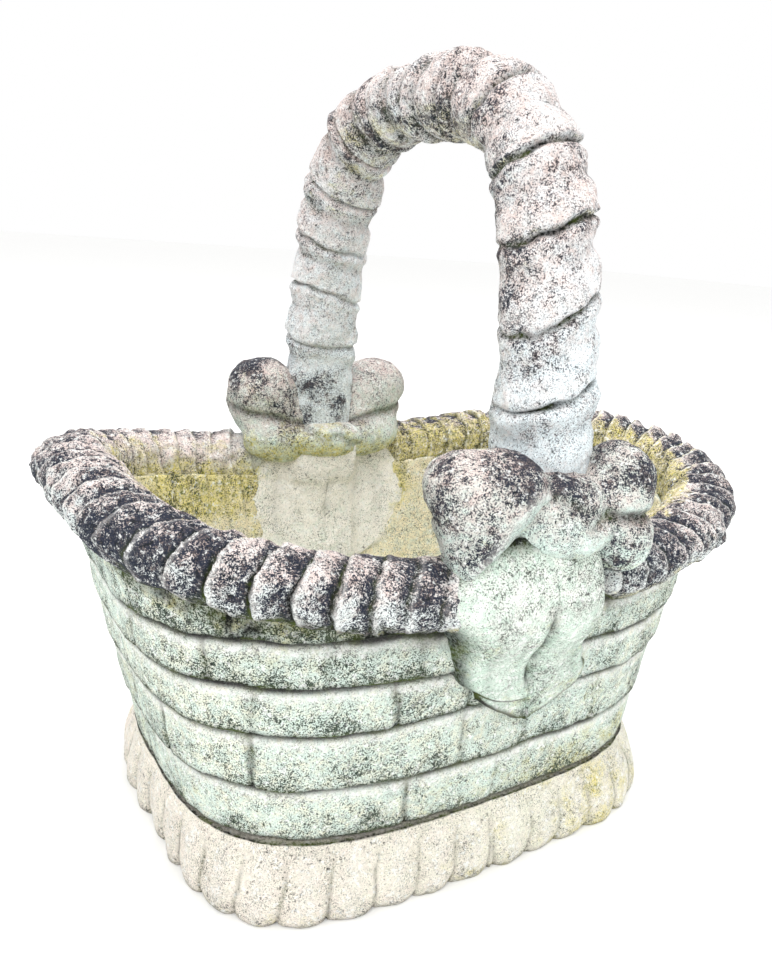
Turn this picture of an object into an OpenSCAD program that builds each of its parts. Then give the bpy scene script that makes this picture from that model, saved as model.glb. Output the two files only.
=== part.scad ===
// Cast-stone basket planter: an oval basket on a roped foot ring, with a roped rim,
// a twisted arch handle across its middle and a tied ribbon bow where each leg lands.
// X runs along the basket, Y across it, and Z up from the ground. Millimetres.
// Each separately moulded stone, mortar bed and bar is one module and one node.

/* [Rim] */
// Half-length of the rim rope's centreline, along X
rim_a = 250; // [240:1:260]
// Half-width of the rim rope's centreline, along Y
rim_b = 177; // [172:1:180]
// Height of the rim rope's centreline, halfway between its high ends and low sides
rim_mid_z = 259; // [254:1:266]
// How far the rim rises above that at the ends, and falls below it at the sides
rim_rise = 20.5; // [12:0.5:24]
// Half-width of the rim rope
rope_w = 27; // [24:0.5:30]
// Half-height of the rim rope
rope_h = 22; // [20:0.5:24]
// Overlapping lobes on each half of the rim rope
rope_lobes = 31; // [20:1:36]

/* [Basket] */
// Half-length of the basket wall at its foot
base_a = 205.5; // [200:0.5:210]
// Half-width of the basket wall at its foot
base_b = 151.5; // [149:0.5:156]
// Half-length of the basket wall at its top edge
top_a = 256; // [250:1:262]
// Half-width of the basket wall at its top edge
top_b = 174; // [172:1:178]
// Height of the basket's underside above the ground
bowl_z = 56; // [54:1:60]
// Thickness of the basket's floor
floor_t = 34; // [28:1:40]
// Depth of the joints between the woven courses
joint_depth = 3; // [1:0.5:4]
// Radius of the drain hole
drain_r = 12; // [8:0.5:16]

/* [Foot] */
// Half-length of the foot ring over its ribs, where it is widest
foot_a = 212; // [208:1:218]
// Half-width of the foot ring over its ribs, where it is widest
foot_b = 167; // [162:1:172]
// Width of the foot ring's stone
foot_w = 56; // [50:1:60]
// Upright ribs round the foot ring
foot_ribs = 40; // [30:1:52]

/* [Handle] */
// Half the distance between the two legs' centrelines
arch_w = 157.5; // [154:0.5:159]
// Height of the arch's centreline at its crown
arch_top_z = 545; // [500:1:580]
// Half-width of the handle along X
handle_x = 34; // [30:0.5:36]
// Half-depth of the handle in the plane of the arch
handle_y = 29; // [26:0.5:31]
// Bands twisted round the handle
handle_bands = 15; // [10:1:18]
// Radius of the reinforcing bar cast inside the handle
rebar_r = 6; // [4:0.5:8]
// Depth of the bar's ends in the basket wall
rebar_socket = 42; // [30:1:45]

/* [Hidden] */

pale_stone = [0.83, 0.87, 0.80];
warm_stone = [0.80, 0.74, 0.66];
lichen_stone = [0.55, 0.51, 0.48];
mortar_grey = [0.50, 0.50, 0.44];
steel_grey = [0.42, 0.40, 0.38];

rim_n = 2.9;         // squareness of the rim's plan: 2 is an ellipse
base_n = 3.2;        // squareness of the basket's plan at its foot
foot_n = 4;          // squareness of the foot ring's plan
arch_n = 3.3;        // squareness of the handle's arch
bed_drop = 14;       // rope centreline down to its flat bed
mortar_t = 3;        // thickness of both mortar beds
wall_steps = 64;     // facets round the basket
inner_base_a = 174;  // basket's inside at the floor
inner_base_b = 121;
inner_top_a = 224;   // basket's inside at its top edge
inner_top_b = 148;
course_z = [98.5, 145, 180.5, 214]; // joints between the five courses
arch_spring_z = rim_mid_z - rim_rise;
seat_z = arch_spring_z - bed_drop;
rope_end_x = handle_x + 4;
rope_sides = 8;
handle_sides = 12;
cover = 0.02;

// ---- Curves -------------------------------------------------------------

// How far a superellipse reaches at angle t, for half-axes of 1
function reach(t, n) = pow(pow(abs(cos(t)), n) + pow(abs(sin(t)), n), -1 / n);

// Point of a superellipse with half-axes a and b
function around(a, b, n, t) = [a * cos(t), b * sin(t)] * reach(t, n);

// Pairs of running length and angle along a superellipse
function arc_table(a, b, n, t0, t1, step = 2) =
    [for (t = t0, s = 0; t <= t1 + step / 2;
        s = s + norm(around(a, b, n, t + step) - around(a, b, n, t)), t = t + step) [s, t]];

// Angles that split such a curve into equal lengths
function even_angles(table, count) =
    let (total = table[len(table) - 1][0])
    [for (i = [0:count]) lookup(total * i / count, table)];

// Rounded hump between two grooves: 0 in a groove, 1 on the crest
function hump(phase) = pow(abs(sin(180 * phase)), 0.6);

function mix(p, q, k) = p + (q - p) * k;
function clamp01(x) = min(1, max(0, x));

function rim_z(t) = rim_mid_z + rim_rise * cos(2 * t);
function seat_at(t) = rim_z(t) - bed_drop;
function wall_top(t) = seat_at(t) - mortar_t;

// ---- Skins --------------------------------------------------------------

function join(lists) = [for (l = lists) for (p = l) p];

function band_faces(m, i, j) =
    [for (k = [0:m - 1]) let (l = (k + 1) % m)
        each [[i * m + k, j * m + k, j * m + l], [i * m + k, j * m + l, i * m + l]]];

// Solid skinned over a stack of rings, each closed off by a fan at either end
module stack(rings) {
    m = len(rings[0]);
    last = len(rings) - 1;
    points = concat(join(rings), [centre_of(rings[0]), centre_of(rings[last])]);
    first_cap = [for (k = [0:m - 1]) [len(points) - 2, k, (k + 1) % m]];
    last_cap = [for (k = [0:m - 1]) [len(points) - 1, last * m + (k + 1) % m, last * m + k]];
    sides = join([for (i = [0:last - 1]) band_faces(m, i, i + 1)]);
    polyhedron(points = points, faces = concat(sides, first_cap, last_cap));
}

function centre_of(ring) =
    [for (axis = [0:2]) ([for (p = ring) p[axis]] * [for (p = ring) 1]) / len(ring)];

// Solid skinned over rings that run back into the first one
module loop_skin(rings) {
    m = len(rings[0]);
    count = len(rings);
    sides = join([for (i = [0:count - 1]) band_faces(m, i, (i + 1) % count)]);
    polyhedron(points = join(rings), faces = sides);
}

// One solid out of what its children leave
module carved() {
    resize([0, 0, 0]) difference() {
        children(0);
        children([1:$children - 1]);
    }
}

// ---- Foot ---------------------------------------------------------------

foot_top = bowl_z - mortar_t;
bed_inset = 6;       // mortar bed's edge, in from the basket's

// Heights up the foot's outside, and how far each stands out between the basket's edge
// and the foot's widest: a skirt that flares to the ground
foot_flare = [[0, 0.94], [8, 1], [26, 0.86], [42, 0.5], [foot_top, 0.04]];

function foot_inside(t) = around(foot_a - foot_w, foot_b - foot_w, base_n, t);

// Section of the foot ring at angle t, between two ribs where crest is 0
function foot_section(t, crest) =
    let (dip = 6 * (1 - crest), inner = foot_inside(t))
    [[inner[0], inner[1], 0],
        each [for (p = foot_flare)
            let (xy = mix(around(base_a - dip, base_b - dip, base_n, t),
                around(foot_a - dip, foot_b - dip, foot_n, t), p[1]))
            [xy[0], xy[1], p[0]]],
        [inner[0], inner[1], foot_top]];

module foot_ring() {
    steps = 3 * foot_ribs;
    angles = even_angles(arc_table(foot_a, foot_b, foot_n, 0, 360), steps);
    color(warm_stone) loop_skin([for (i = [steps - 1:-1:0])
        foot_section(angles[i], hump(i / 3))]);
}

module foot_mortar() {
    rings = [for (i = [wall_steps - 1:-1:0])
        let (t = 360 * i / wall_steps, inner = foot_inside(t) * 1.025)
        let (outer = around(base_a - bed_inset, base_b - bed_inset, base_n, t))
        [[inner[0], inner[1], foot_top], [outer[0], outer[1], foot_top],
            [outer[0], outer[1], bowl_z], [inner[0], inner[1], bowl_z]]];
    color(mortar_grey) loop_skin(rings);
}

// ---- Basket -------------------------------------------------------------

// Point of the wall's outside at angle t and height z, set back by d
function wall_outside(t, z, d = 0) =
    let (k = clamp01((z - bowl_z) / (wall_top(t) - bowl_z)))
    let (xy = around(mix(base_a, top_a, k) - d, mix(base_b, top_b, k) - d, mix(base_n, rim_n, k), t))
    [xy[0], xy[1], z];

function wall_inside(t, z, d = 0) =
    let (k = clamp01((z - bowl_z) / (wall_top(t) - bowl_z)))
    let (xy = around(mix(inner_base_a, inner_top_a, k) - d,
        mix(inner_base_b, inner_top_b, k) - d, mix(base_n, rim_n, k), t))
    [xy[0], xy[1], z];

// Heights and set-backs up one course: each leans out over the joint below it
function course(z0, z1) = [[z0, joint_depth], [z0 + 3, 0], [mix(z0, z1, 0.6), 0],
    [z1 - 3, joint_depth * 0.7]];

module bowl_solid() {
    floor_z = bowl_z + floor_t;
    levels = concat(course(bowl_z, course_z[0]), course(course_z[0], course_z[1]),
        course(course_z[1], course_z[2]), course(course_z[2], course_z[3]));
    function ring_out(z, d) = [for (i = [0:wall_steps - 1]) wall_outside(360 * i / wall_steps, z, d)];
    function ring_top(d, inside) = [for (i = [0:wall_steps - 1])
        let (t = 360 * i / wall_steps)
        inside ? wall_inside(t, wall_top(t), d) : wall_outside(t, wall_top(t), d)];
    function ring_in(z, d) = [for (i = [0:wall_steps - 1]) wall_inside(360 * i / wall_steps, z, d)];
    rings = concat([for (p = levels) ring_out(p[0], p[1])],
        [ring_out(course_z[3], joint_depth), ring_top(0, false), ring_top(0, true)],
        [ring_in(200, 0), ring_in(150, 0), ring_in(floor_z + 24, 0), ring_in(floor_z + 7, 4),
            ring_in(floor_z, 20)]);
    stack(rings);
}

module basket_bowl() {
    color(pale_stone) difference() {
        bowl_solid();
        translate([0, 0, bowl_z - 1]) cylinder(r = drain_r, h = floor_t + 2, $fn = 48);
        for (side = [-1, 1]) translate([0, side * arch_w, seat_z - mortar_t - rebar_socket])
            cylinder(r = rebar_r + cover, h = rebar_socket + 1, $fn = 10);
    }
}

// Ring along the wall's top, between two set-backs across its thickness and two drops
module wall_cap(k_in, k_out, drop_low, drop_high) {
    function edge(t, k) = around(mix(inner_top_a, top_a, k), mix(inner_top_b, top_b, k), rim_n, t);
    rings = [for (i = [wall_steps - 1:-1:0])
        let (t = 360 * i / wall_steps, z = rim_z(t))
        let (inner = edge(t, k_in), outer = edge(t, k_out))
        [[inner[0], inner[1], z - drop_low], [outer[0], outer[1], z - drop_low],
            [outer[0], outer[1], z - drop_high], [inner[0], inner[1], z - drop_high]]];
    loop_skin(rings);
}

// Flat, gently waving seat that the ropes and the legs stand on
module seat() {
    wall_cap(-1.2, 2.4, 75, bed_drop);
}

module rim_mortar() {
    color(mortar_grey) difference() {
        wall_cap(0.2, 0.92, bed_drop + mortar_t, bed_drop);
        for (side = [-1, 1]) translate([0, side * arch_w, seat_z - 20])
            cylinder(r = rebar_r + cover, h = 40, $fn = 10);
    }
}

// ---- Rim ----------------------------------------------------------------

// Angle at which the rope's centreline stands rope_end_x from the middle
function rope_end_angle() =
    lookup(-rope_end_x, [for (t = [60:0.5:90]) [-around(rim_a, rim_b, rim_n, t)[0], t]]);

// Half of the rim rope, on the +X side, round all over
module rope_tube() {
    steps = 3 * rope_lobes;
    end = rope_end_angle();
    angles = even_angles(arc_table(rim_a, rim_b, rim_n, -end, end), steps);
    rings = [for (i = [0:steps])
        let (t = max(-end, min(end, angles[i])), p = around(rim_a, rim_b, rim_n, t))
        let (d = around(rim_a, rim_b, rim_n, t + 0.5) - around(rim_a, rim_b, rim_n, t - 0.5))
        let (out = i == 0 || i == steps ? [0, i == 0 ? -1 : 1] : [d[1], -d[0]] / norm(d))
        [for (k = [0:rope_sides - 1])
            let (q = -360 * k / rope_sides, swell = 0.92 + 0.08 * hump(i / 3 + k / rope_sides / 2))
            let (u = rope_w * swell * cos(q), v = rope_h * swell * sin(q))
            [p[0] + out[0] * u, p[1] + out[1] * u, rim_z(t) + v]]];
    stack(rings);
}

// The same, cut flat where it beds on the wall
module rope_half() {
    carved() {
        rope_tube();
        seat();
    }
}

module rim_rope_right() {
    color(lichen_stone) rope_half();
}

module rim_rope_left() {
    color(lichen_stone) rotate(180) rope_half();
}

// ---- Handle -------------------------------------------------------------

// Centreline point and outward direction of the arch, in Y and Z, at angle t
function arch_point(t) =
    let (p = around(arch_w, arch_top_z - arch_spring_z, arch_n, t)) [p[0], p[1] + arch_spring_z];

function arch_table() = arc_table(arch_w, arch_top_z - arch_spring_z, arch_n, 0, 180);

function arch_out(t) =
    let (d = arch_point(t + 0.5) - arch_point(t - 0.5)) [d[1], -d[0]] / norm(d);

function arch_ring(t, rx, ry, drop = 0) =
    let (p = arch_point(t), out = t <= 0 ? [1, 0] : t >= 180 ? [-1, 0] : arch_out(t))
    [for (k = [0:handle_sides - 1])
        let (q = 360 * k / handle_sides, u = cos(q), v = sin(q))
        [-rx(k) * v, p[0] + out[0] * ry(k) * u, p[1] - drop + out[1] * ry(k) * u]];

// Twisted bands fade out below the bows' tops, where the legs are plain
function band_swell(i, steps, k) =
    let (near_end = min(i, steps - i) / steps, fade = clamp01((near_end - 0.12) / 0.05))
    let (phase = handle_bands * i / steps + k / handle_sides)
    1 - 0.09 * fade * (1 - hump(phase));

// The arch without its bore, its legs carried on below the seat
module arch_solid() {
    steps = 5 * handle_bands;
    angles = even_angles(arch_table(), steps);
    function ring(i, drop = 0) = arch_ring(angles[i],
        function (k) handle_x * band_swell(i, steps, k),
        function (k) handle_y * band_swell(i, steps, k), drop);
    stack(concat([ring(0, 30)], [for (i = [0:steps]) ring(i)], [ring(steps, 30)]));
}

// Round bar along the arch's centreline, its straight ends reaching down by drop
module bar(r, drop) {
    steps = 24;
    angles = even_angles(arch_table(), steps);
    function ring(i, down = 0) = arch_ring(angles[i], function (k) r, function (k) r, down);
    stack(concat([ring(0, drop)], [for (i = [0:steps]) ring(i)], [ring(steps, drop)]));
}

module handle_arch() {
    color(pale_stone) carved() {
        arch_solid();
        bar(rebar_r + cover, 40);
        seat();
    }
}

module handle_rebar() {
    color(steel_grey) bar(rebar_r, bed_drop + mortar_t + rebar_socket);
}

// ---- Bows ---------------------------------------------------------------
// A bow is drawn at the front, at -Y, with its left side at -X. The back one is turned round.

knot_z = arch_spring_z + 53;

module lump(at, size) {
    translate(at) scale(size) sphere(r = 1, $fn = 16);
}

// Ribbon wound once round the leg, lower inside the basket than outside
module knot_body() {
    hull() {
        lump([0, -arch_w - 22, knot_z + 6], [40, 28, 24]);
        lump([0, -arch_w - 24, knot_z - 8], [37, 28, 24]);
        lump([0, -arch_w + 22, knot_z - 26], [39, 26, 20]);
    }
}

module knot() {
    carved() {
        knot_body();
        arch_solid();
    }
}

// Folded ribbon loop that straddles the rim on the left of the leg: a broad top lobe over a
// narrower one, and a third that hangs inside the basket. size is how far it reaches from the
// leg's middle and the half-width of its top lobe
module loop_body(size) {
    reach = size[0];
    wide = size[1];
    hull() {
        lump([-34, -arch_w - 20, knot_z - 2], [16, 26, 20]);
        lump([wide - reach, -arch_w - 19, knot_z + 13], [wide, 38, 29]);
        lump([wide * 0.82 - reach * 0.96, -arch_w - 19, knot_z - 15], [wide * 0.8, 38, 25]);
        lump([wide - reach, -arch_w + 8, knot_z - 27], [wide * 0.85, 21, 20]);
    }
}

module loop_cut(size) {
    carved() {
        loop_body(size);
        arch_solid();
        knot_body();
        rotate(180) rope_tube();
        seat();
        leg_gap();
    }
}

// Space between the two ropes' ends, below the knot
module leg_gap() {
    half = rope_end_x + 0.5;
    translate([-half, -arch_w - 60, seat_z - 20]) cube([2 * half, 120, rope_h + 36]);
}

// Each loop's reach from the leg's middle, and the half-width of its top lobe
front_left_loop = [91, 34];
front_right_loop = [68, 27];
back_left_loop = [101, 36];
back_right_loop = [85, 33];

// Height above the rim's low sides, reach from the basket's middle and width from the leg's
// middle, down a tail
outer_left_fall = [[35, 203, 44], [17, 212, 62], [0, 216, 70], [-24, 209, 70], [-46, 190, 66],
    [-64, 181, 58], [-86, 175, 30], [-105, 168, 4]];
outer_right_fall = [[35, 203, 30], [17, 212, 34], [0, 216, 36], [-24, 209, 37], [-46, 190, 39],
    [-64, 181, 42], [-86, 175, 38], [-105, 168, 4]];
inner_left_fall = [[19, 124, 56], [0, 134, 80], [-24, 133, 88], [-46, 130, 92], [-72, 123, 90],
    [-92, 118, 64], [-112, 114, 4]];
inner_right_fall = [for (level = inner_left_fall) [level[0], level[1], level[2] * 0.72]];

// Left tail of a pair, between the leg's centreline plane and its own pillowed face
module tail_body(fall) {
    rings = [for (level = fall)
        let (z = arch_spring_z + level[0], face = level[1], wide = level[2], deep = face - arch_w)
        [[0, -arch_w, z], [-wide, -arch_w, z], [-wide, -arch_w - deep * 0.55, z],
            [-wide * 0.85, -arch_w - deep * 0.95, z], [-wide * 0.45, -face, z],
            [-wide * 0.12, -arch_w - deep * 0.93, z], [0, -arch_w - deep * 0.75, z]]];
    stack(face_out(rings, fall));
}

// Rings are listed downwards, and an inner tail faces the other way from an outer one
function face_out(rings, fall) = fall[0][1] < arch_w ?
    [for (i = [len(rings) - 1:-1:0]) [for (k = [len(rings[i]) - 1:-1:0]) rings[i][k]]] :
    [for (i = [len(rings) - 1:-1:0]) rings[i]];

module tail_cut(fall, size) {
    carved() {
        tail_body(fall);
        bowl_solid();
        wall_cap(0.2, 0.92, bed_drop + 2 * mortar_t, bed_drop - mortar_t);
        arch_solid();
        knot_body();
        loop_body(size);
        rotate(180) rope_tube();
    }
}

module on_right() {
    mirror([1, 0, 0]) children();
}

module bow_knot() {
    color(lichen_stone) knot();
}

module left_loop(size) {
    color(lichen_stone) loop_cut(size);
}

module right_loop(size) {
    color(lichen_stone) on_right() loop_cut(size);
}

module left_tail(fall, size) {
    color(pale_stone) tail_cut(fall, size);
}

module right_tail(fall, size) {
    color(pale_stone) on_right() tail_cut(fall, size);
}

module at_back() {
    rotate(180) children();
}

foot_ring();
foot_mortar();
basket_bowl();
rim_mortar();
rim_rope_left();
rim_rope_right();
handle_arch();
handle_rebar();
bow_knot();  // front_bow_knot
left_loop(front_left_loop);  // front_bow_left_loop
right_loop(front_right_loop);  // front_bow_right_loop
left_tail(outer_left_fall, front_left_loop);  // front_bow_outer_left_tail
right_tail(outer_right_fall, front_right_loop);  // front_bow_outer_right_tail
left_tail(inner_left_fall, front_left_loop);  // front_bow_inner_left_tail
right_tail(inner_right_fall, front_right_loop);  // front_bow_inner_right_tail
at_back() bow_knot();  // back_bow_knot
at_back() left_loop(back_left_loop);  // back_bow_left_loop
at_back() right_loop(back_right_loop);  // back_bow_right_loop
at_back() left_tail(outer_left_fall, back_left_loop);  // back_bow_outer_left_tail
at_back() right_tail(outer_right_fall, back_right_loop);  // back_bow_outer_right_tail
at_back() left_tail(inner_left_fall, back_left_loop);  // back_bow_inner_left_tail
at_back() right_tail(inner_right_fall, back_right_loop);  // back_bow_inner_right_tail
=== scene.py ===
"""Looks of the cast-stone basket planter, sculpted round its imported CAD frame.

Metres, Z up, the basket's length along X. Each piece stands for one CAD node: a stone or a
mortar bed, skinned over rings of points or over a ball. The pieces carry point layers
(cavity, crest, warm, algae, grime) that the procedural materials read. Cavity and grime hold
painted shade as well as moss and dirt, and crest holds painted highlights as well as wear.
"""

import math

import bpy
import numpy as np
from mathutils import Matrix, Vector


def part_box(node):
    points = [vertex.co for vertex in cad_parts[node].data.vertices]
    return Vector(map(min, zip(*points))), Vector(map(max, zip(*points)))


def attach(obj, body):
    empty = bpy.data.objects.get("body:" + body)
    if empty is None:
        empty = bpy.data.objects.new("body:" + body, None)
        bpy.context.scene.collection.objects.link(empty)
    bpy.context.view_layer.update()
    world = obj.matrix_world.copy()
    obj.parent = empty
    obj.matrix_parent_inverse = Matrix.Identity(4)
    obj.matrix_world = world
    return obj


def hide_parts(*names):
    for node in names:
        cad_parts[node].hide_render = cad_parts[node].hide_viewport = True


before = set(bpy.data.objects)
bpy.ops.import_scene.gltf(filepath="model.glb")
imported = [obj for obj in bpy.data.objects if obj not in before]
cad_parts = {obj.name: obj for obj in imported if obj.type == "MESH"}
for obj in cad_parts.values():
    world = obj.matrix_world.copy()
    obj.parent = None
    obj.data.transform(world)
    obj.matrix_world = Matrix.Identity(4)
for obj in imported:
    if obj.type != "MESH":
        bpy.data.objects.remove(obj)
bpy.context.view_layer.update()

MM = 0.001

# ---- Driving dimensions, from the frame ----

rope_lo, rope_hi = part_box("rim_rope_right")
bowl_lo, bowl_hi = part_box("basket_bowl")
foot_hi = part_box("foot_ring")[1]
bed_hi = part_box("foot_mortar")[1]
arch_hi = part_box("handle_arch")[1]

ROPE_W = 27 * MM          # half-width of the rim rope
ROPE_H = 22 * MM          # half-height of the rim rope
BED_DROP = 14 * MM        # rope centreline down to its bed
MORTAR_T = 3 * MM
FLOOR_T = 34 * MM
DRAIN_R = 12 * MM
RIM_N, BASE_N, FOOT_N, ARCH_N = 2.9, 3.2, 4.0, 3.3   # squareness of plans and arch

RIM_A, RIM_B = rope_hi.x - ROPE_W, rope_hi.y - ROPE_W
rim_high, rim_low = rope_hi.z - ROPE_H, rope_lo.z + BED_DROP
RIM_MID, RIM_RISE = (rim_high + rim_low) / 2, (rim_high - rim_low) / 2
TOP_A, TOP_B = bowl_hi.x, bowl_hi.y
BASE_A, BASE_B = bed_hi.x + 6 * MM, bed_hi.y + 6 * MM
BOWL_Z = bowl_lo.z
FLOOR_Z = BOWL_Z + FLOOR_T
INNER_BASE_A, INNER_BASE_B = BASE_A - 31.5 * MM, BASE_B - 30.5 * MM
INNER_TOP_A, INNER_TOP_B = RIM_A - ROPE_W, RIM_B - ROPE_W
FOOT_A, FOOT_B = foot_hi.x, foot_hi.y
FOOT_W = 56 * MM
HANDLE_X = arch_hi.x
HANDLE_Y = 29 * MM
ARCH_W = arch_hi.y - HANDLE_Y
ARCH_TOP = arch_hi.z - HANDLE_Y
SPRING_Z = RIM_MID - RIM_RISE
ROPE_END_X = HANDLE_X + 4 * MM
KNOT_Z = SPRING_Z + 53 * MM
COURSE_Z = np.array([98.5, 145, 180.5, 214]) * MM   # joints between the five courses
ROPE_LOBES = 31
FOOT_RIBS = 40
HANDLE_BANDS = 17
TUBE_R = 30 * MM          # radius of the rope and the handle, for their noise


# ---- Noise ----

def lattice(cell, seed):
    """Repeatable random values between -1 and 1 at whole-number cells."""
    h = (cell[..., 0] * 374761393 + cell[..., 1] * 668265263 + cell[..., 2] * 974634777
         + seed * 1274126177) & 0xFFFFFFFF
    h = ((h ^ (h >> 13)) * 1103515245) & 0xFFFFFFFF
    return ((h ^ (h >> 16)) & 0xFFFF) / 32767.5 - 1


def cells(a, b=0, c=0):
    """Whole-number cells for lattice, from values that are whole already."""
    return np.stack([a, b + 0 * a, c + 0 * a], -1).astype(np.int64)


def noise(p, size, seed=0):
    """Smooth noise between -1 and 1 whose features are about size across."""
    q = p / size + 37.7 * (seed % 11)
    cell = np.floor(q).astype(np.int64)
    f = q - cell
    f = f * f * (3 - 2 * f)
    total = 0
    for step in np.ndindex(2, 2, 2):
        weight = np.prod(np.where(np.array(step) == 1, f, 1 - f), axis=-1)
        total = total + weight * lattice(cell + step, seed)
    return total


def fractal(p, size, seed):
    """Noise with two finer and fainter layers added."""
    return sum(noise(p, size / 2**k, seed + k) / 2**k for k in range(3))


def ramp(x, low, high):
    """0 below low, 1 above high, smooth between. low may be the greater."""
    k = np.clip((x - low) / (high - low), 0, 1)
    return k * k * (3 - 2 * k)


def dent(x, width):
    """1 where x is 0, falling away within width."""
    return np.exp(-((x / width) ** 2))


def mix(a, b, k):
    return a + (b - a) * k


# ---- Curves ----

def squared(t, n):
    """How far a circle squared by n reaches at angle t. It stays a circle where n is 2."""
    return (np.abs(np.cos(t)) ** n + np.abs(np.sin(t)) ** n) ** (-1 / n)


def around(a, b, n, t):
    """Point of a superellipse with half-axes a and b, at angle t in radians."""
    return np.stack([a * np.cos(t) * squared(t, n), b * np.sin(t) * squared(t, n)], axis=-1)


def raised(xy, z):
    """Points of a plan at height z."""
    return np.concatenate([xy, (z + 0 * xy[..., 0])[..., None]], axis=-1)


def even_angles(a, b, n, t0, t1, count):
    """Angles that split a superellipse into equal lengths, and the whole length."""
    t = np.linspace(t0, t1, 4001)
    steps = np.linalg.norm(np.diff(around(a, b, n, t), axis=0), axis=1)
    run = np.concatenate([[0], np.cumsum(steps)])
    return np.interp(np.linspace(0, run[-1], count), run, t), run[-1]


def outward(curve, first, last):
    """Unit vectors square to a plane curve, away from its middle. The end ones are given."""
    along = np.gradient(curve, axis=0)
    out = np.stack([along[:, 1], -along[:, 0]], -1)
    out[0], out[-1] = first, last
    return out / np.linalg.norm(out, axis=1, keepdims=True)


def tube_grid(rows, cols):
    """Shares of the way along a tube, down the rows, and angles round it, across them."""
    return (np.linspace(0, 1, rows)[:, None],
            np.linspace(0, 2 * math.pi, cols, endpoint=False)[None, :])


def tube_spot(run, turn, apart=0.0):
    """Places to read noise at, on a tube straightened out. Tubes set apart differ."""
    return np.stack([run + 0 * turn, apart + TUBE_R * np.cos(turn) + 0 * run,
                     TUBE_R * np.sin(turn) + 0 * run], -1)


def rim_z(t):
    return RIM_MID + RIM_RISE * np.cos(2 * t)


def wall_top(t):
    return rim_z(t) - BED_DROP - MORTAR_T


def wall_plan(k, inside):
    """Half-axes and squareness of the wall's outside or inside, a share k of the way up it."""
    low = (INNER_BASE_A, INNER_BASE_B) if inside else (BASE_A, BASE_B)
    high = (INNER_TOP_A, INNER_TOP_B) if inside else (TOP_A, TOP_B)
    return mix(low[0], high[0], k), mix(low[1], high[1], k), mix(BASE_N, RIM_N, k)


def wall_point(t, z, inside=False, back=0.0):
    """Point of the basket wall's outside or inside at angle t and height z."""
    k = np.clip((z - BOWL_Z) / (wall_top(t) - BOWL_Z), 0, 1)
    a, b, n = wall_plan(k, inside)
    return raised(around(a - back, b - back, n, t), z)


# ---- Meshes ----

NO_TRIS = np.zeros((0, 3), int)


def skin(rings, closed=False):
    """Points and faces of a closed skin over rings of points, with a fan over each end."""
    rows, cols = rings.shape[:2]
    index = np.arange(rows * cols).reshape(rows, cols)
    near = index if closed else index[:-1]
    far = np.roll(index, -1, axis=0) if closed else index[1:]
    quads = np.stack([near, np.roll(near, -1, 1), np.roll(far, -1, 1), far], axis=-1)
    points = rings.reshape(-1, 3)
    tris = NO_TRIS
    if not closed:
        ends = np.stack([rings[0].mean(axis=0), rings[-1].mean(axis=0)])
        first, last = index[0], index[-1]
        tip = np.full(cols, rows * cols)
        tris = np.concatenate([np.stack([np.roll(first, -1), first, tip], -1),
                               np.stack([last, np.roll(last, -1), tip + 1], -1)])
        points = np.concatenate([points, ends])
    return points, quads.reshape(-1, 4), tris


def quad_ball(n):
    """Unit directions and quads of a ball made from a cube with n x n faces a side."""
    corners = []
    u, v = np.meshgrid(np.arange(n), np.arange(n), indexing="ij")
    for axis in range(3):
        for side in (0, n):
            for du, dv in ((0, 0), (1, 0), (1, 1), (0, 1)):
                point = np.full((n, n, 3), side)
                point[..., (axis + 1) % 3] = u + du
                point[..., (axis + 2) % 3] = v + dv
                corners.append(point.reshape(-1, 3))
    corners = np.array(corners).reshape(6, 4, n * n, 3).transpose(0, 2, 1, 3)
    corners[::2] = corners[::2, :, ::-1]
    whole, quads = np.unique(corners.reshape(-1, 3), axis=0, return_inverse=True)
    d = np.tan((whole / n - 0.5) * math.pi / 2)
    return d / np.linalg.norm(d, axis=1, keepdims=True), quads.reshape(-1, 4)


def volume(points, quads):
    a, b, c, d = (points[quads[:, k]] for k in range(4))
    return np.sum(np.cross(b - a, c - a) * a + np.cross(c - a, d - a) * a)


def point_normals(points, quads, tris):
    """Outward unit normals at the points."""
    total = np.zeros_like(points)
    for faces in (quads, tris):
        if len(faces) == 0:
            continue
        a, b, c = points[faces[:, 0]], points[faces[:, 1]], points[faces[:, -1]]
        across = np.cross(points[faces[:, 2]] - a, c - b) if faces.shape[1] == 4 \
            else np.cross(b - a, c - a)
        for k in range(faces.shape[1]):
            for axis in range(3):
                total[:, axis] += np.bincount(faces[:, k], across[:, axis], len(points))
    return total / np.maximum(np.linalg.norm(total, axis=1, keepdims=True), 1e-12)


def put(name, data):
    """New object, in the scene."""
    made = bpy.data.objects.new(name, data)
    bpy.context.scene.collection.objects.link(made)
    return made


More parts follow.
